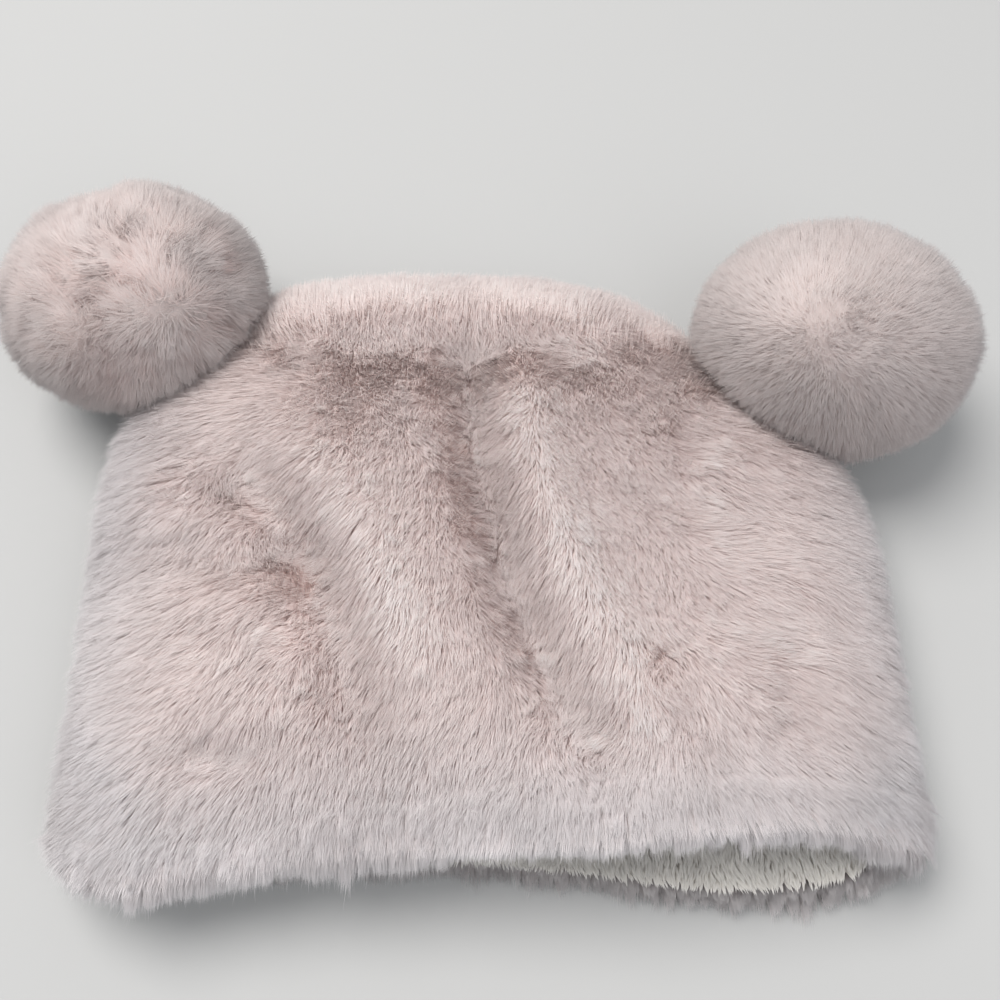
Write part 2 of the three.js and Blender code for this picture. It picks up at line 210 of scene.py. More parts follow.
def table_value(table, key, name, at):
    """A table's column at places along its key column, on a smooth monotone curve."""
    x, y = column_of(table, key), column_of(table, name)
    slope = np.diff(y) / np.diff(x)
    tangent = np.empty_like(y)
    tangent[0], tangent[-1] = slope[0], slope[-1]
    product = slope[:-1] * slope[1:]
    total = slope[:-1] + slope[1:]
    tangent[1:-1] = np.where(product > 0, 2 * product / np.where(total == 0, 1, total), 0)
    place = np.clip(at, x[0], x[-1])
    row = np.clip(np.searchsorted(x, place) - 1, 0, len(x) - 2)
    step = x[row + 1] - x[row]
    t = (place - x[row]) / step
    rising = t * t * (3 - 2 * t)
    bend = t * (1 - t) * step * ((1 - t) * tangent[row] - t * tangent[row + 1])
    return y[row] * (1 - rising) + y[row + 1] * rising + bend


def bilinear(grid, row, column):
    """Values of a grid at fractional rows and columns."""
    row = np.clip(row, 0, grid.shape[0] - 1.001)
    column = np.clip(column, 0, grid.shape[1] - 1.001)
    i, j = row.astype(int), column.astype(int)
    s, t = row - i, column - j
    if grid.ndim == 3:
        s, t = s[..., None], t[..., None]
    near = grid[i, j] * (1 - t) + grid[i, j + 1] * t
    far = grid[i + 1, j] * (1 - t) + grid[i + 1, j + 1] * t
    return near * (1 - s) + far * s


# Maps over the floor, a value a millimetre, of what lies along lines
MAP_X0, MAP_Y0 = -150.0, -40.0


def along_line(line, steps=41):
    """Distance of each map point from a curve through three points, and the place along it."""
    x, y = np.meshgrid(np.arange(MAP_X0, 151.0), np.arange(MAP_Y0, 240.0))
    start, middle, end = (np.array(p) * (HALF_WIDTH, CROWN_LENGTH) for p in line)
    nearest = np.full(x.shape, np.inf)
    place = np.zeros_like(x)
    for t in np.linspace(0, 1, steps):
        point = (1 - t) * (1 - 2 * t) * start + 4 * t * (1 - t) * middle + t * (2 * t - 1) * end
        distance = np.hypot(x - point[0], y - point[1])
        place = np.where(distance < nearest, t, place)
        nearest = np.minimum(nearest, distance)
    return nearest, place


def fold_map():
    height = 0
    for fold in FOLDS:
        nearest, place = along_line(fold["line"], 161)
        fullness = FOLD_END_HEIGHT + (1 - FOLD_END_HEIGHT) * np.sqrt(4 * place * (1 - place))
        across_fold = np.exp(-((nearest / (fold["spread"] * HALF_WIDTH)) ** 2))
        height = height + fold["height"] * CROWN_RISE * fullness * across_fold
    for _ in range(3):
        for axis in (0, 1):
            height = (np.roll(height, 1, axis) + 2 * height + np.roll(height, -1, axis)) / 4
    return height


def ruffle_map(name):
    amount = 0
    for ruffle in RUFFLES:
        nearest, place = along_line(ruffle["line"])
        amount = amount + ruffle[name] * np.exp(-((nearest / ruffle["width"]) ** 2))
    return amount


FOLD_MAP = fold_map()
RUFFLE_AND_SHADE_MAP = ruffle_map("ruffle_and_shade")
MATTED_MAP = ruffle_map("matted")


def on_map(values, points):
    return bilinear(values, points[:, 1] - MAP_Y0, points[:, 0] - MAP_X0)


def fold_height(x, y):
    return bilinear(FOLD_MAP, y - MAP_Y0, x - MAP_X0)


def bulge(across, power):
    return np.maximum(1 - np.abs(across) ** power, 0) ** (1 / power)


def hat_point(across, along, inset, floor, side, setback=FRINGE_SETBACK):
    """Points of a skin of the hat. along is 0 to 1 over the hem and 1 to 2 over the crown."""
    crease = HEM_DEPTH * table_value(BRIM_LINE, "across", "crease", across)
    edge = HEM_DEPTH * table_value(BRIM_LINE, "across", side, across) + setback
    in_hem = edge + (crease - edge) * np.minimum(along, 1)
    past = np.maximum(along - 1, 0)
    y = np.where(along < 1, in_hem, crease + (CROWN_LENGTH - inset - crease) * past)
    tip_y = np.where(along < 1, in_hem, crease + (CROWN_LENGTH - crease) * past)
    place = tip_y / CROWN_LENGTH
    left = HALF_WIDTH * table_value(CROWN_SECTIONS, "along", "left", place)
    right = HALF_WIDTH * table_value(CROWN_SECTIONS, "along", "right", place)
    rise = table_value(CROWN_SECTIONS, "along", "rise", place)
    middle, reach = (left + right) / 2, (right - left) / 2
    if np.isscalar(inset) and inset < FUR_WALL:
        inset = inset - HEM_SWELL * np.sin(math.pi * np.clip(along, 0, 1))
    x = middle + reach * across * (1 - inset / HALF_WIDTH)
    if side == "front":
        swell = np.minimum(1, FOLD_EDGE_FADE * rise * bulge(across, TOP_POWER))
        folded = swell * fold_height(middle + reach * across, tip_y)
        z = SEAM_HEIGHT + (CROWN_RISE - inset) * rise * bulge(across, TOP_POWER) + folded
    else:
        pressed = np.minimum(1, FLOOR_PRESS * bulge(across, BOTTOM_POWER)) * np.minimum(1, END_PRESS * rise)
        z = SEAM_HEIGHT - (SEAM_HEIGHT - floor) * pressed
    return np.stack(np.broadcast_arrays(x, y, z), -1)


# Where the hat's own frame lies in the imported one: the lining's box is known in both
def hat_offset():
    across, along = np.meshgrid(np.linspace(-1, 1, 3), np.linspace(1, 2, 400))
    own = hat_point(across, along, LINING_OUTER, LINING_FLOOR, "front")
    low, high = (np.array(corner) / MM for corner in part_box("lining"))
    own_x = (own[..., 0].min() + own[..., 0].max()) / 2
    return np.array([(low[0] + high[0]) / 2 - own_x, high[1] - (CROWN_LENGTH - LINING_OUTER), 0.0])


OFFSET = hat_offset()

# Small tools for vectors, noise and clumps
rng = np.random.default_rng(7)
NOISE_SIZE = 32
NOISE = rng.uniform(-1, 1, (NOISE_SIZE, NOISE_SIZE, NOISE_SIZE, 3))


def unit(v):
    return v / np.maximum(np.linalg.norm(v, axis=-1, keepdims=True), 1e-9)


def dot(a, b):
    return (a * b).sum(-1, keepdims=True)


def along_surface(v, normals):
    return v - dot(v, normals) * normals


def blend(first, second, share):
    return first * (1 - share) + second * share


def smooth(low, high, x):
    t = np.clip((x - low) / (high - low), 0, 1)
    return t * t * (3 - 2 * t)


def noise(points, cell):
    """Three smooth noises between -1 and 1 at points, with features about a cell wide."""
    p = points / cell + 100.0
    base = np.floor(p).astype(int)
    t = p - base
    t = t * t * (3 - 2 * t)
    total = 0
    for corner in np.ndindex(2, 2, 2):
        at = (base + corner) % NOISE_SIZE
        weight = np.prod(np.where(np.array(corner) == 1, t, 1 - t), axis=-1, keepdims=True)
        total = total + weight * NOISE[at[:, 0], at[:, 1], at[:, 2]]
    return total


def clump_centres(points, cell):
    """The nearest of a set of scattered centres for each point, and a number for its clump."""
    p = points / cell + 50.0
    base = np.floor(p).astype(int)
    best = np.full(len(p), np.inf)
    centre = np.zeros_like(p)
    tone = np.zeros(len(p))
    for step in np.ndindex(3, 3, 3):
        at = base + np.array(step) - 1
        key = at % NOISE_SIZE
        shift = NOISE[key[:, 0], key[:, 1], key[:, 2]]
        candidate = at + 0.5 + 0.45 * shift
        distance = ((p - candidate) ** 2).sum(-1)
        nearer = distance < best
        best = np.where(nearer, distance, best)
        centre[nearer] = candidate[nearer]
        tone = np.where(nearer, shift[:, 0] * 0.5 + shift[:, 1] * 0.5, tone)
    return (centre - 50.0) * cell, tone[:, None]


def scatter(count, weight):
    """Fractional rows and columns of points spread evenly over a grid of cell weights."""
    i = np.arange(count)
    jitter = 0.35 / math.sqrt(count)
    first = (0.5 + i * 0.7548776662466927 + rng.normal(0, jitter, count)) % 1
    second = (0.5 + i * 0.5698402909980532 + rng.normal(0, jitter, count)) % 1
    rows, columns = weight.shape
    by_row = weight.sum(1)
    edges = np.concatenate([[0], np.cumsum(by_row)]) / by_row.sum()
    row = np.clip(np.searchsorted(edges, first, side="right") - 1, 0, rows - 1)
    row_part = (first - edges[row]) / np.maximum(edges[row + 1] - edges[row], 1e-12)
    running = np.concatenate([np.zeros((rows, 1)), np.cumsum(weight, 1)], 1)
    inner = running / np.maximum(by_row, 1e-12)[:, None]
    flat = (inner[:, 1:] + np.arange(rows)[:, None]).ravel()
    column = np.clip(np.searchsorted(flat, row + second, side="right") - row * columns, 0, columns - 1)
    low, high = inner[row, column], inner[row, column + 1]
    column_part = (second - low) / np.maximum(high - low, 1e-12)
    return row + np.clip(row_part, 0, 1), column + np.clip(column_part, 0, 1)


class Skin:
    """A grid of hide points with outward directions, from which strands grow."""

    def __init__(self, points, out):
        self.points = points
        across_step = np.gradient(points, axis=1)
        along_step = np.gradient(points, axis=0)
        normal = np.cross(across_step, along_step)
        self.normals = unit(normal * out)
        cell = normal[:-1, :-1] + normal[1:, 1:]
        self.area = np.linalg.norm(cell, axis=-1) / 2

    def sample(self, count, weight=None):
        wanted = self.area if weight is None else self.area * weight(self.centres())
        row, column = scatter(count, wanted)
        return bilinear(self.points, row, column), unit(bilinear(self.normals, row, column))

    def centres(self):
        p = self.points
        return (p[:-1, :-1] + p[1:, 1:]) / 2


def skin_of(side, first, last, inset, floor, rows=260, columns=320, setback=FRINGE_SETBACK):
    sine = np.sin(np.linspace(-math.pi / 2, math.pi / 2, columns // 2))
    rounded = np.sign(sine) * np.abs(sine) ** (2 / (TOP_POWER if side == "front" else BOTTOM_POWER))
    spread = np.sort(np.concatenate([rounded, np.linspace(-0.98, 0.98, columns - columns // 2)]))
    lengths = np.linspace(0, 1, rows)
    if last > 1.5:
        lengths = 0.35 * np.sin(lengths * math.pi / 2) + 0.65 * lengths
    across, along = np.meshgrid(spread, first + (last - first) * lengths)
    points = hat_point(across, along, inset, floor, side, setback)
    return Skin(points, 1.0 if side == "front" else -1.0)


# Colours of the fur from its roots to its tips, as linear numbers
def linear(r, g, b):
    v = np.array([r, g, b]) / 255
    return np.where(v <= 0.04045, v / 12.92, ((v + 0.055) / 1.055) ** 2.4)


# Shaded depth: painted shade, a dark pinkish-brown that stands for the shadow deep in the pile where it is
# ruffled or a fold sinks
SHADED_DEPTH = linear(212, 180, 173)
HIDE = linear(246, 231, 227)
ROOT = linear(241, 217, 212)
MIDDLE = linear(249, 238, 235)
TIP = linear(253, 246, 244)
COOL_MIDDLE = linear(237, 233, 233)
COOL_TIP = linear(245, 243, 244)
FLEECE_ROOT = linear(236, 231, 224)
FLEECE_TIP = linear(251, 249, 245)


class Strands:
    """Blades gathered as arrays in millimetres: bent ones are kites, straight ones are spikes."""

    def __init__(self):
        self.parts = []

    def add_spikes(self, base, tip, normal, width, base_colour, tip_colour):
        along = unit(tip - base)
        side = unit(np.cross(normal, along)) * width
        corners = np.stack([base + side, base - side, tip], 1)
        corners[..., 2] = np.maximum(corners[..., 2], LEAST_HEIGHT)
        lean = unit(normal - 0.1 * dot(normal, along) * along + rng.normal(0, 0.04, normal.shape))
        normals = np.repeat(lean[:, None], 3, 1)
        colours = np.minimum(np.stack([base_colour, base_colour, tip_colour], 1), 0.99)
        self.parts.append((corners, normals, colours))

    def add_kites(self, root, middle, tip, normal, width, root_colour, middle_colour, tip_colour):
        along = unit(tip - root)
        side = unit(np.cross(normal, along)) * width
        corners = np.stack([root, middle - side, middle + side, tip], 1)
        corners[..., 2] = np.maximum(corners[..., 2], LEAST_HEIGHT)
        lean = unit(normal - 0.1 * dot(normal, along) * along + rng.normal(0, 0.05, normal.shape))
        normals = np.repeat(lean[:, None], 4, 1)
        tilt = unit(side) * 0.05
        normals[:, 1] -= tilt
        normals[:, 2] += tilt
        colours = np.stack([root_colour, middle_colour, middle_colour, tip_colour], 1)
        self.parts.append((corners, unit(normals), colours))

    def arrays(self):
        sets = []
        for corners, normals, colours in self.parts:
            count, sides = corners.shape[:2]
            start = np.arange(0, count * sides, sides)[:, None]
            faces = start + (0, 1, 2)
            if sides == 4:
                faces = np.concatenate([faces, start + (1, 3, 2)], 1)
            flat = [values.reshape(-1, 3) for values in (corners, normals, colours, faces)]
            sets.append(flat)
        return join_arrays(*sets)


def grid_faces(rows, columns, turned, start=0):
    i = np.arange(rows - 1)[:, None] * columns + np.arange(columns - 1)[None, :]
    a, b, c, d = i, i + 1, i + columns + 1, i + columns
    quads = np.stack([a, b, c, d], -1).reshape(-1, 4)
    if turned:
        quads = quads[:, ::-1]
    return np.concatenate([quads[:, (0, 1, 2)], quads[:, (0, 2, 3)]]) + start


def make_piece(name, corners, normals, colours, faces, material):
    """A mesh object from arrays in the hat's own frame, with its normals and colours."""
    mesh = bpy.data.meshes.new(name)
    mesh.vertices.add(len(corners))
    mesh.vertices.foreach_set("co", ((corners + OFFSET) * MM).astype(np.float32).ravel())
    mesh.loops.add(3 * len(faces))
    mesh.loops.foreach_set("vertex_index", faces.astype(np.int32).ravel())
    mesh.polygons.add(len(faces))
    mesh.polygons.foreach_set("loop_start", np.arange(0, 3 * len(faces), 3, dtype=np.int32))
    mesh.update(calc_edges=True)
    mesh.polygons.foreach_set("use_smooth", np.ones(len(faces), bool))
    attribute = mesh.color_attributes.new("fur_colour", "FLOAT_COLOR", "POINT")
    solid = np.concatenate([colours, np.ones((len(colours), 1))], 1)
    attribute.data.foreach_set("color", solid.astype(np.float32).ravel())
    mesh.normals_split_custom_set_from_vertices(normals.astype(np.float32))
    mesh.materials.append(material)
    piece = bpy.data.objects.new(name, mesh)
    bpy.context.scene.collection.objects.link(piece)
    return piece


def join_arrays(*sets):
    """One set of arrays from several (corners, normals, colours, faces)."""
    corners, normals, colours, faces, start = [], [], [], [], 0
    for c, n, k, f in sets:
        corners.append(c)
        normals.append(n)
        colours.append(k)
        faces.append(f + start)
        start += len(c)
    return tuple(np.concatenate(x) for x in (corners, normals, colours, faces))


def shell_arrays(outer, inner, out_sign, colour):
    """A closed hide between an outer and an inner skin grid of the same size."""
    rows, columns = outer.points.shape[:2]
    corners = np.concatenate([outer.points.reshape(-1, 3), inner.points.reshape(-1, 3)])
    corners[:, 2] = np.maximum(corners[:, 2], LEAST_HEIGHT)
    normals = np.concatenate([outer.normals.reshape(-1, 3), -inner.normals.reshape(-1, 3)])
    up = out_sign > 0
    count = rows * columns
    faces = [grid_faces(rows, columns, not up), grid_faces(rows, columns, up, count)]
    rim = np.concatenate([
        np.arange(columns),
        np.arange(1, rows) * columns + columns - 1,
        (rows - 1) * columns + np.arange(columns - 2, -1, -1),
        np.arange(rows - 2, -1, -1) * columns,
    ])
    a, b = rim[:-1], rim[1:]
    wall = np.concatenate([np.stack([a, a + count, b + count], 1), np.stack([a, b + count, b], 1)])
    if not up:
        wall = wall[:, ::-1]
    faces.append(wall)
    colours = np.repeat(colour[None], len(corners), 0)
    return corners, normals, colours, np.concatenate(faces)


def ruffling_with_shade(points):
    """How much of the pile's depth shows, with painted shade, at points of the upper layer, from 0 to 1."""
    # Fold valleys add to it: painted shade that darkens the creases, more where they sink deeper.
    amount = on_map(RUFFLE_AND_SHADE_MAP, points) + 0.35 * np.clip(-on_map(FOLD_MAP, points) / 8, 0, 1)
    patchy = 0.8 + 0.5 * noise(points, 11)[:, 0] + 0.5 * noise(points, 3.5)[:, 1]
    return np.clip(0.68 * amount * np.clip(patchy, 0, 1.5), 0, 1)[:, None]


def coolness(points):
    """How neutral the tips are: more at the sides, the brim and the crown's end."""
    u = np.abs(points[:, :1]) / HALF_WIDTH
    v = points[:, 1:2] / CROWN_LENGTH
    return np.clip(smooth(0.65, 1.0, u) + smooth(0.25, 0.0, v) + 0.4 * smooth(0.9, 1.0, v), 0, 1)


def tuftedness(points):
    """How far strands gather in pointed tufts: more at the sides, the brim and the crown's end."""
    u = np.abs(points[:, :1]) / HALF_WIDTH
    v = points[:, 1:2] / CROWN_LENGTH
    rim = np.maximum(np.maximum(smooth(0.7, 1.0, u), smooth(0.22, 0.0, v)), smooth(0.9, 1.0, v))
    return 0.17 + 0.06 * rim


def nap_direction(points, normals, side):
    """The way the pile lies at points of the hide, along its surface."""
    u = points[:, 0] / HALF_WIDTH
    v = points[:, 1] / CROWN_LENGTH
    outward = 0.45 * u + 1.0 * u ** 3
    down = -1 - 0.8 * smooth(0.30, 0.05, v)
    if side == "front":
        down = np.where(rng.random(len(v)) < smooth(0.76, 0.97, v), 1, down)
    wander = 0.40 * noise(points, 34) + 0.38 * noise(points, 12) + 0.20 * noise(points, 4.5)
    way = np.stack([outward, down, np.zeros_like(u)], 1)
    way[:, :2] += wander[:, :2]
    if side == "front":
        x, y = points[:, 0], points[:, 1]
        way[:, 0] -= 0.22 * (fold_height(x + 2, y) - fold_height(x - 2, y)) / 4
        way[:, 1] -= 0.22 * (fold_height(x, y + 2) - fold_height(x, y - 2)) / 4
        matted = on_map(MATTED_MAP, points)
        way[:, :2] += matted[:, None] * (0.8 * noise(points, 8.5)[:, :2] + rng.normal(0, 0.3, (len(x), 2)))
    steep = 1 - np.abs(normals[:, 2])
    way[:, 2] -= 0.8 * steep
    tangent = along_surface(way, normals)
    strength = 0.35 + 0.65 * smooth(0.05, 0.75, np.linalg.norm(tangent, axis=1, keepdims=True))
    return unit(tangent), strength


def tones(points, clump_tone):
    """Brightness of strands: noise blotches, a painted highlight on fold ridges, painted shade towards the
    brim, clumps and single strands.
    """
    v = points[:, 1:2] / CROWN_LENGTH
    # Painted highlight: strands on fold ridges are made lighter.
    ridge_highlight = np.clip(on_map(FOLD_MAP, points) / 4.5, 0, 1)[:, None]
    ridge_highlight = ridge_highlight * smooth(0.42, 0.30, points[:, :1] / HALF_WIDTH) * smooth(0.08, 0.22, v)
    tone_and_painted_light = 0.98 + 0.03 * noise(points, 30)[:, 1:2] + 0.03 * noise(points, 9)[:, 2:3]
    # Adds the painted highlight on fold ridges and painted shade that darkens the strands towards the brim.
    tone_and_painted_light = tone_and_painted_light + 0.14 * ridge_highlight - 0.04 * smooth(0.28, 0.0, v)
    return tone_and_painted_light * (1 + 0.025 * clump_tone) * (1 + rng.normal(0, 0.03, (len(points), 1)))


def grow(strands, roots, normals, way, rise, lean, width, depth_and_shade, cool, tufted=0.14, droop=0):
    """Adds strands that rise from the roots and lie over along their way."""
    count = len(roots)
    centre, tone = clump_centres(roots + normals * 2, CLUMP)
    big_centre, big_tone = clump_centres(roots, BIG_CLUMP)
    wild = rng.normal(0, 1, (count, 3)) * (0.12 + 0.12 * depth_and_shade)
    way = unit(way + along_surface(wild, normals))
    under = rng.random((count, 1)) < UNDERFUR_SHARE
    lean = np.where(under, 0.35 * lean, lean)
    rise = np.where(under, 0.8 * rise, rise)
    lean = np.clip(lean + rng.normal(0, 0.07, (count, 1)) - 0.40 * depth_and_shade, 0.05, 1.12)
    size = np.minimum(2 * rise / (np.cos(0.6 * lean) + np.cos(1.25 * lean)), 2.1 * rise)
    size = size * (1 + rng.normal(0, 0.09, (count, 1))) * (1 + 0.13 * noise(roots, 7)[:, :1])
    tufted = (tufted + 0.2 * depth_and_shade) * np.clip(0.9 + 0.9 * tone, 0.2, 1.6)
    size = size * (1 + 0.4 * tufted * tone)
    first = unit(normals * np.cos(lean * 0.6) + way * np.sin(lean * 0.6))
    second = unit(normals * np.cos(lean * 1.25) + way * np.sin(lean * 1.25))
    middle = roots + first * size * 0.5
    tip = middle + second * size * 0.5
    pull = along_surface(centre - roots, normals)
    big_pull = along_surface(big_centre - roots, normals)
    tip = tip + tufted * (pull + 0.2 * big_pull)
    middle = middle + 0.4 * tufted * pull
    middle[:, 2:] -= 0.35 * droop
    tip[:, 2:] -= droop
    shade = tones(roots, tone + 0.5 * big_tone) * (1 + 0.15 * depth_and_shade * tone)
    # Painted shade: strands in ruffles and fold valleys are darkened from tip to root towards the shaded
    # depth colour.
    ruffle_and_shade = np.clip(depth_and_shade * rng.uniform(0.2, 1.3, (count, 1)), 0, 1)
    tip_colour = blend(blend(TIP, COOL_TIP, cool), MIDDLE, 0.7 * ruffle_and_shade)
    middle_colour = blend(blend(MIDDLE, COOL_MIDDLE, cool), ROOT, 0.7 * ruffle_and_shade)
    root_colour = blend(ROOT, SHADED_DEPTH, 0.8 * ruffle_and_shade)
    wide = width * rng.uniform(0.7, 1.3, (count, 1))
    base = blend(roots, middle, 0.15)
    base_colour = blend(root_colour, middle_colour, 0.5 + 0.3 * cool)
    strands.add_spikes(base, tip, normals, wide, base_colour * shade, tip_colour * shade)


def fur_material(name, translucency=0.55):
    material = bpy.data.materials.new(name)
    material.use_nodes = True
    tree = material.node_tree
    tree.nodes.clear()
    colour = tree.nodes.new("ShaderNodeAttribute")
    colour.attribute_name = "fur_colour"
    hair = tree.nodes.new("ShaderNodeBsdfPrincipled")
    hair.inputs["Roughness"].default_value = 0.45
    hair.inputs["Specular IOR Level"].default_value = 0.4
    hair.inputs["Sheen Weight"].default_value = 0.2
    hair.inputs["Sheen Roughness"].default_value = 0.5
    through = tree.nodes.new("ShaderNodeBsdfTranslucent")
    mix = tree.nodes.new("ShaderNodeMixShader")
    mix.inputs[0].default_value = translucency
    out = tree.nodes.new("ShaderNodeOutputMaterial")
    tree.links.new(colour.outputs["Color"], hair.inputs["Base Color"])
    tree.links.new(colour.outputs["Color"], through.inputs["Color"])
    tree.links.new(hair.outputs[0], mix.inputs[1])
    tree.links.new(through.outputs[0], mix.inputs[2])
    tree.links.new(mix.outputs[0], out.inputs["Surface"])
    return material


FUR = fur_material("fur")
POMPOM_FUR = fur_material("pompom_fur")
FLEECE = fur_material("fleece")

QUICK = 1.0


def quick_count(count):
    return int(count * QUICK)


def place_on_body(piece, node):
    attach(piece, "root")
    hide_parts(node)


def half_of(skin, left):
    """The left or the right half of an upper skin, as far as its middle line."""
    middle = skin.points.shape[1] // 2
    keep = slice(0, middle + 1) if left else slice(middle, None)
    return Skin(skin.points[:, keep], 1.0)


def front_fur():
    """The upper panel's hide and pile, as a left and a right half."""
    for name, left in (("front_fur_left", True), ("front_fur_right", False)):
        skin = half_of(skin_of("front", 1.0, 2.0, ROOT_DEPTH, 0), left)
        roots, normals = skin.sample(quick_count(FRONT_STRANDS))
        way, strength = nap_direction(roots, normals, "front")
        lean = (0.95 + 0.10 * (1 - normals[:, 2:3])) * strength
        strands = Strands()
        grow(strands, roots, normals, way, PILE_HEIGHT, lean, FRONT_STRAND,
             ruffling_with_shade(roots), coolness(roots), tuftedness(roots))
        outer = half_of(skin_of("front", 1.0, 2.0, HIDE_DEPTH, 0, 90, 120), left)
        inner = half_of(skin_of("front", 1.0, 2.0, FUR_WALL, 0, 90, 120), left)
        hide = shell_arrays(outer, inner, 1.0, HIDE)
        # Painted shade on the hide: darkened a little everywhere and more in ruffles and fold valleys.
        hide[2][:] = blend(HIDE, SHADED_DEPTH, 0.15 + 0.65 * ruffling_with_shade(hide[0]))
        piece = make_piece(name, *join_arrays(hide, strands.arrays()), FUR)
        place_on_body(piece, "front_panel")


def back_fur():
    """The lower panel's hide and its pile, pressed flat on the floor."""
    def side_rich(points):
        return 0.6 + 3.0 * smooth(2.0, 6.0, points[..., 2])

    skin = skin_of("back", 1.0, 2.0, ROOT_DEPTH, ROOT_FLOOR)
    roots, normals = skin.sample(quick_count(BACK_STRANDS), side_rich)
    way, _ = nap_direction(roots, normals, "back")
    flat = smooth(4.0, 1.5, roots[:, 2:3])
    strands = Strands()
    grow(strands, roots, normals, way, PILE_HEIGHT - 2.0 * flat, 0.95 + 0.15 * flat, BACK_STRAND,
         0.25 * np.ones_like(flat), 0.5, tuftedness(roots))
    outer = skin_of("back", 1.0, 2.0, ROOT_DEPTH + 0.3, ROOT_FLOOR, 50, 60)
    inner = skin_of("back", 1.0, 2.0, FUR_WALL, PRESSED_WALL, 50, 60)
    hide = shell_arrays(outer, inner, -1.0, HIDE)
    piece = make_piece("back_fur", *join_arrays(hide, strands.arrays()), FUR)
    place_on_body(piece, "back_panel")


def fringe(strands, side, root_floor, inner_floor):
    """Adds the strands at a hem's edge, which point forward out of the brim."""
    outer = skin_of(side, 0.0, 1.0, ROOT_DEPTH, root_floor, 12, 320)
    inner = skin_of(side, 0.0, 1.0, FUR_WALL, inner_floor, 12, 320)
    count = quick_count(FRINGE_STRANDS)
    column = rng.uniform(0, 318.9, count)
    depth = rng.uniform(0, 1, (count, 1))
    row = np.zeros(count)
    out = bilinear(outer.normals, row, column)
    roots = blend(bilinear(outer.points, row, column), bilinear(inner.points, row, column), depth)
    forward = np.array([0, -1.0, 0]) + out * (0.4 - 0.6 * depth)
    normals = unit(out * (1 - 0.7 * depth) + np.array([0, -0.8, 0]))
    way = unit(along_surface(forward, normals) + 1e-4)
    uneven = 1 + 0.22 * noise(roots, 9)[:, :1] + 0.12 * noise(roots, 4)[:, 1:2]
    rise = (5.6 if side == "front" else 4.6) * (1 - 0.35 * depth) * uneven
    droop = 1.5 if side == "front" else 0.5
    grow(strands, roots, normals, way, rise, 0.85, HEM_STRAND, 0.1 * np.ones((count, 1)), 1.0, 0.4, droop)


def hem_fur():
    """The turned hem: its hide, its pile and the fringe at its edge."""
    strands = Strands()
    hides = []
    sides = (("front", 0, 0, 1.0), ("back", ROOT_FLOOR, PRESSED_WALL, -1.0))
    for side, root_floor, inner_floor, sign in sides:
        skin = skin_of(side, 0.0, 1.0, ROOT_DEPTH, root_floor, 60, 320)
        roots, normals = skin.sample(quick_count(HEM_STRANDS[side]))
        way, strength = nap_direction(roots, normals, side)
        ruffle_and_shade = ruffling_with_shade(roots) if side == "front" else 0.1 * np.ones((len(roots), 1))
        lean = (0.95 + 0.10 * (1 - np.abs(normals[:, 2:3]))) * strength
        edge = table_value(BRIM_LINE, "across", side, roots[:, :1] / HALF_WIDTH)
        brim = HEM_DEPTH * edge + FRINGE_SETBACK
        droop = 4.5 * smooth(brim + 9, brim, roots[:, 1:2]) if side == "front" else 0
        grow(strands, roots, normals, way, PILE_HEIGHT, lean, HEM_STRAND,
             ruffle_and_shade, coolness(roots), tuftedness(roots), droop)
        outer = skin_of(side, 0.0, 1.0, HIDE_DEPTH, root_floor, 12, 80)
        inner = skin_of(side, 0.0, 1.0, FUR_WALL, inner_floor, 12, 80)
        hides.append(shell_arrays(outer, inner, sign, HIDE))
        fringe(strands, side, root_floor, inner_floor)
    piece = make_piece("hem_fur", *join_arrays(*hides, strands.arrays()), FUR)
    place_on_body(piece, "hem_band")


def lining_pile():
    """The fleece pocket with its short pile, thickest near the open brim."""
    def near_mouth(points):
        return 0.05 + smooth(90, 15, points[..., 1]) + 2 * smooth(16, 6, points[..., 1])

    strands = Strands()
    hides = []
    inner_floor = LINING_FLOOR + LINING_THICKNESS
    for side, sign in (("front", 1.0), ("back", -1.0)):
        outer = skin_of(side, LINING_START, 2.0, LINING_OUTER, LINING_FLOOR, 36, 50, LINING_SETBACK)
        inner = skin_of(side, LINING_START, 2.0, LINING_INNER, inner_floor, 36, 50, LINING_SETBACK)
        hides.append(shell_arrays(outer, inner, sign, FLEECE_ROOT))
        skin = skin_of(side, LINING_START, 1.7, LINING_INNER, inner_floor, setback=LINING_SETBACK)
        roots, normals = skin.sample(quick_count(FLEECE_STRANDS[side]), near_mouth)
        normals = -normals
        count = len(roots)
        curl = unit(along_surface(noise(roots, 2.6), normals))
        edge = smooth(16, 7, roots[:, 1:2])
        way = unit(curl + np.array([0, -1.0, 0]) * (0.5 + 2 * edge))
        length = (2.4 + 2.2 * edge) * rng.uniform(0.7, 1.2, (count, 1))
        tip = roots + unit(normals * 0.7 + way * 0.9) * length
        middle = (roots + tip) / 2 + normals * 0.5
        shade = tones(roots, np.zeros((count, 1)))
        middle_colour = blend(FLEECE_ROOT, FLEECE_TIP, 0.5) * shade
        strands.add_kites(roots, middle, tip, normals, FLEECE_STRAND,
                          FLEECE_ROOT * shade, middle_colour, FLEECE_TIP * shade)
    piece = make_piece("lining_fleece", *join_arrays(*hides, strands.arrays()), FLEECE)
    place_on_body(piece, "lining")


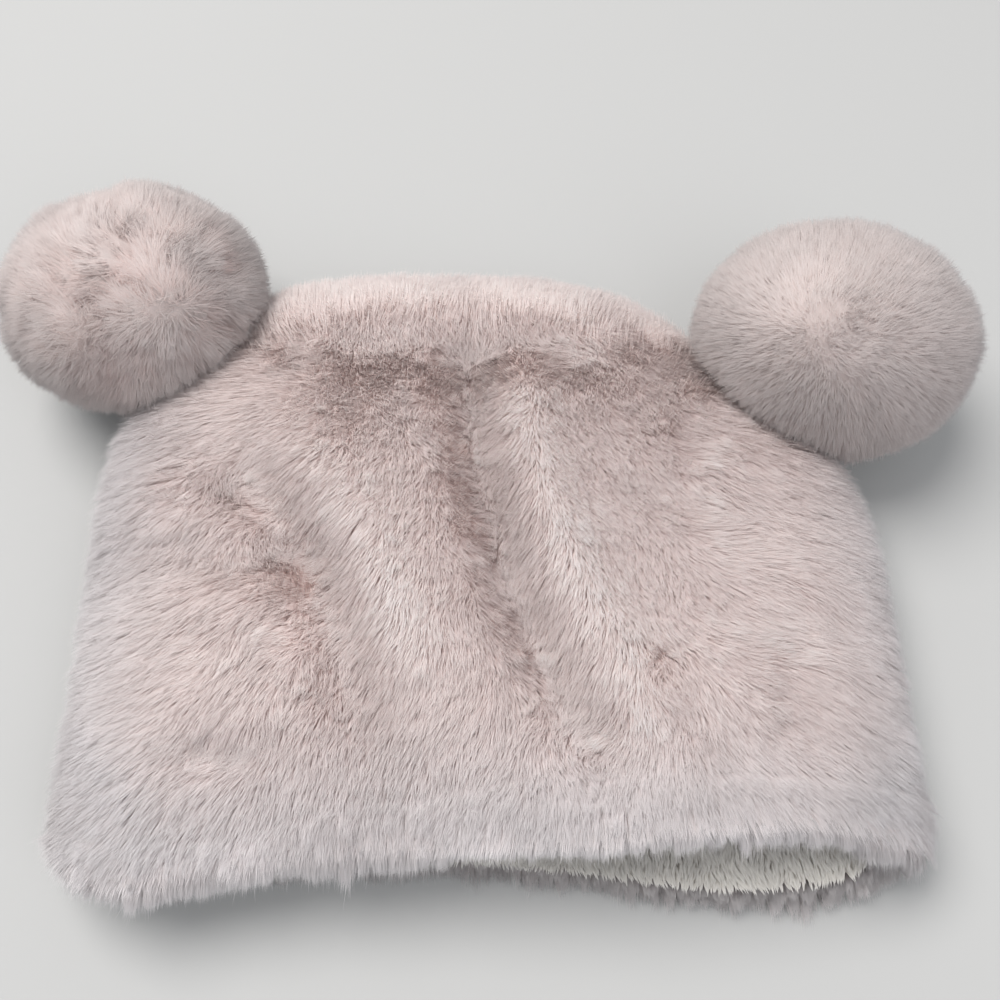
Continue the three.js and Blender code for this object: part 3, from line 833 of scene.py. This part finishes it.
def inside_hat(points, margin):
    """Whether points lie inside the hat's fur, to a depth of margin below its tips."""
    place = points[:, 1] / CROWN_LENGTH
    left = HALF_WIDTH * table_value(CROWN_SECTIONS, "along", "left", place)
    right = HALF_WIDTH * table_value(CROWN_SECTIONS, "along", "right", place)
    rise = table_value(CROWN_SECTIONS, "along", "rise", place)
    across = (points[:, 0] - (left + right) / 2) / ((right - left) / 2 * (1 - margin / HALF_WIDTH))
    over = (CROWN_RISE - margin) * rise * bulge(np.clip(across, -1, 1), TOP_POWER)
    folded = fold_height(points[:, 0], points[:, 1]) * np.minimum(1, FOLD_EDGE_FADE * over / CROWN_RISE)
    top = SEAM_HEIGHT + over + folded
    return (np.abs(across) < 1) & (points[:, 1] < CROWN_LENGTH - margin) & (points[:, 2] < top)


def shorten_clear(centre, points, margin=1.5):
    """Points drawn back towards an ear's centre until they are clear of the hat."""
    reach = np.ones(len(points))
    for _ in range(24):
        now = centre + (points - centre) * reach[:, None]
        reach = np.where(inside_hat(now, margin), reach - 0.03, reach)
    return centre + (points - centre) * reach[:, None]


def fibonacci_sphere(count):
    i = np.arange(count) + 0.5
    z = 1 - 2 * i / count
    turn = math.pi * (3 - math.sqrt(5)) * i
    r = np.sqrt(1 - z * z)
    return np.stack([r * np.cos(turn), r * np.sin(turn), z], 1)


def sphere_grid(rows, columns):
    polar = np.linspace(0, math.pi, rows)[:, None]
    turn = np.linspace(0, 2 * math.pi, columns)[None, :]
    polar, turn = np.broadcast_arrays(polar, turn)
    return np.stack([np.sin(polar) * np.cos(turn), np.sin(polar) * np.sin(turn), np.cos(polar)], -1)


def pompom_fur(node):
    """A ball of long fur strands, pressed on the floor and against the crown."""
    ear = EARS[node]
    radii = np.array([ear["width"] * POMPOM_WIDTH, POMPOM_LENGTH, POMPOM_HEIGHT]) / 2
    centre = np.array([ear["across"] * HALF_WIDTH, ear["along"] * CROWN_LENGTH, POMPOM_HEIGHT / 2])
    matted = ear["matted"]
    seen = unit(np.array(ear["pole"]))
    count = quick_count(POMPOM_STRANDS)
    outward = unit(fibonacci_sphere(count) + rng.normal(0, 0.006, (count, 3)))
    depth = POMPOM_ROOT_DEPTH

    def hollow(direction):
        place = centre + direction * radii
        lumps = np.clip(0.1 + noise(place, 13)[:, :1] + 0.6 * noise(place, 6.5)[:, :1], 0, 1)
        crease = np.clip(1.1 - np.abs(noise(place, 8)[:, 1:2]) / 0.22, 0, 1)
        near = smooth(0.35, 0.85, (direction @ seen))[:, None]
        return (1.2 + 1.6 * matted) * lumps + 3.4 * matted * near * crease

    hollows = hollow(outward)
    roots = centre + outward * (radii - depth - hollows)
    normals = unit(outward / radii)
    facing = smooth(0.30, 0.85, (outward @ seen))[:, None] * matted
    away = -seen + (outward @ seen)[:, None] * outward
    wander = 0.35 * noise(roots, 26) + (0.3 + 1.3 * facing) * noise(roots, 8)
    wander = wander + (0.25 + 0.4 * facing) * noise(roots, 4)
    wild = rng.normal(0, 0.22, (count, 3)) * (1 + facing)
    spin = np.cross(normals, seen)
    way = away * 0.9 + wander + 0.4 * facing * spin + np.array([0, 0, -0.25]) + wild
    way = along_surface(way, normals)
    strength = 0.6 + 0.4 * smooth(0, 0.8, np.linalg.norm(way, axis=1, keepdims=True))
    way = unit(way)
    lean = (0.42 + 0.20 * facing) * strength
    length = depth * (1.0 + 0.12 * facing)
    size = length * (1 + rng.normal(0, 0.05, (count, 1))) * (1 + 0.04 * noise(roots, 8)[:, :1])
    first = unit(normals * np.cos(lean * 0.5) + way * np.sin(lean * 0.5))
    second = unit(normals * np.cos(lean * 1.7) + way * np.sin(lean * 1.7))
    base = roots + first * size * 0.45
    middle = roots + first * size * 0.62
    tip = middle + second * size * 0.42
    clump, tone = clump_centres(middle, POMPOM_CLUMP)
    pull = along_surface(clump - middle, normals)
    tip = tip + (0.28 + 0.28 * facing) * pull + rng.normal(0, 0.3, (count, 3))
    tip = shorten_clear(centre, tip)
    base = shorten_clear(centre, base, 4.0)
    shade = 0.88 * tones(roots, tone) * (1 + 0.06 * facing * tone)
    # Strands in the matted hollows and creases take the pinker root colour: partly the roots' own colour,
    # partly painted shade in the crevices.
    ruffle_and_shade = np.clip((0.25 + 0.75 * facing) * hollows / 3 * rng.uniform(0.3, 1.4, (count, 1)), 0, 1)
    cool = smooth(0.35, -0.5, outward @ seen)[:, None]
    tip_colour = blend(blend(TIP, COOL_TIP, cool), ROOT, 0.6 * ruffle_and_shade)
    base_colour = blend(blend(MIDDLE, COOL_MIDDLE, cool), ROOT, 0.6 * ruffle_and_shade)
    base_colour = blend(base_colour, ROOT, 0.3)
    width = POMPOM_STRAND * rng.uniform(0.7, 1.3, (count, 1))
    strands = Strands()
    strands.add_spikes(base, tip, normals, width, base_colour * shade, tip_colour * shade)
    rows, columns = 48, 72
    ball = sphere_grid(rows, columns).reshape(-1, 3)
    hide = shorten_clear(centre, centre + ball * (radii - depth * 0.4 - hollow(ball)), 4.0)
    hide[:, 2] = np.maximum(hide[:, 2], LEAST_HEIGHT)
    faces = grid_faces(rows, columns, True)
    colours = np.repeat(blend(HIDE, MIDDLE, 0.6)[None] * 0.9, len(hide), 0)
    hide_arrays = (hide, ball, colours, faces)
    piece = make_piece(node + "_fur", *join_arrays(hide_arrays, strands.arrays()), POMPOM_FUR)
    place_on_body(piece, node)


front_fur()
back_fur()
hem_fur()
lining_pile()
for ear_node in EARS:
    pompom_fur(ear_node)


# Camera: 62 degrees above the floor with a 36 mm lens, as the photograph was taken
CAMERA_TILT = math.radians(62)
CAMERA_DISTANCE = 0.33713
CAMERA_TARGET = (np.array([0.0, 122.0, 0.0]) + OFFSET) * MM

# Floor: half its width and its height, a hair below the hat, in metres
FLOOR_REACH = 3.0
FLOOR_HEIGHT = -0.0003


def camera():
    data = bpy.data.cameras.new("camera")
    data.lens, data.sensor_width, data.sensor_height = 36, 36, 36
    data.sensor_fit = "HORIZONTAL"
    data.clip_start = 0.01
    eye = bpy.data.objects.new("camera", data)
    back = np.array([0, -math.cos(CAMERA_TILT), math.sin(CAMERA_TILT)]) * CAMERA_DISTANCE
    eye.location = CAMERA_TARGET + back
    eye.rotation_euler = (math.pi / 2 - CAMERA_TILT, 0, 0)
    bpy.context.scene.collection.objects.link(eye)
    bpy.context.scene.camera = eye


def area_light(name, place, target, size, power, colour):
    data = bpy.data.lights.new(name, "AREA")
    data.shape, data.size = "DISK", size
    data.energy, data.color = power, colour
    lamp = bpy.data.objects.new(name, data)
    lamp.location = place
    aim = np.array(target) - np.array(place)
    flat = math.hypot(aim[0], aim[1])
    tilt = math.pi / 2 - math.atan2(-aim[2], flat)
    turn = math.atan2(aim[1], aim[0]) - math.pi / 2
    lamp.rotation_euler = (tilt, 0, turn)
    bpy.context.scene.collection.objects.link(lamp)


def studio():
    area_light("key", (-0.72, 0.55, 1.95), (0, 0, 0), 1.6, 52, (1.0, 0.98, 0.96))
    area_light("fill", (0.6, -0.8, 1.0), (0, 0, 0), 1.2, 6, (0.95, 0.97, 1.0))
    world = bpy.data.worlds.new("studio")
    world.use_nodes = True
    background = world.node_tree.nodes["Background"]
    background.inputs["Color"].default_value = (0.95, 0.97, 1.0, 1)
    background.inputs["Strength"].default_value = 0.55
    bpy.context.scene.world = world


def lay_floor():
    mesh = bpy.data.meshes.new("floor")
    around = [(-1, -1), (1, -1), (1, 1), (-1, 1)]
    corners = [(x * FLOOR_REACH, y * FLOOR_REACH, FLOOR_HEIGHT) for x, y in around]
    mesh.from_pydata(corners, [], [(0, 1, 2, 3)])
    plane = bpy.data.objects.new("floor", mesh)
    material = bpy.data.materials.new("floor")
    material.use_nodes = True
    shader = material.node_tree.nodes["Principled BSDF"]
    shader.inputs["Base Color"].default_value = (0.42, 0.42, 0.415, 1)
    shader.inputs["Roughness"].default_value = 0.8
    mesh.materials.append(material)
    bpy.context.scene.collection.objects.link(plane)


camera()
studio()
lay_floor()
bpy.context.scene.view_settings.view_transform = "Standard"
bpy.context.scene.cycles.max_bounces = 4
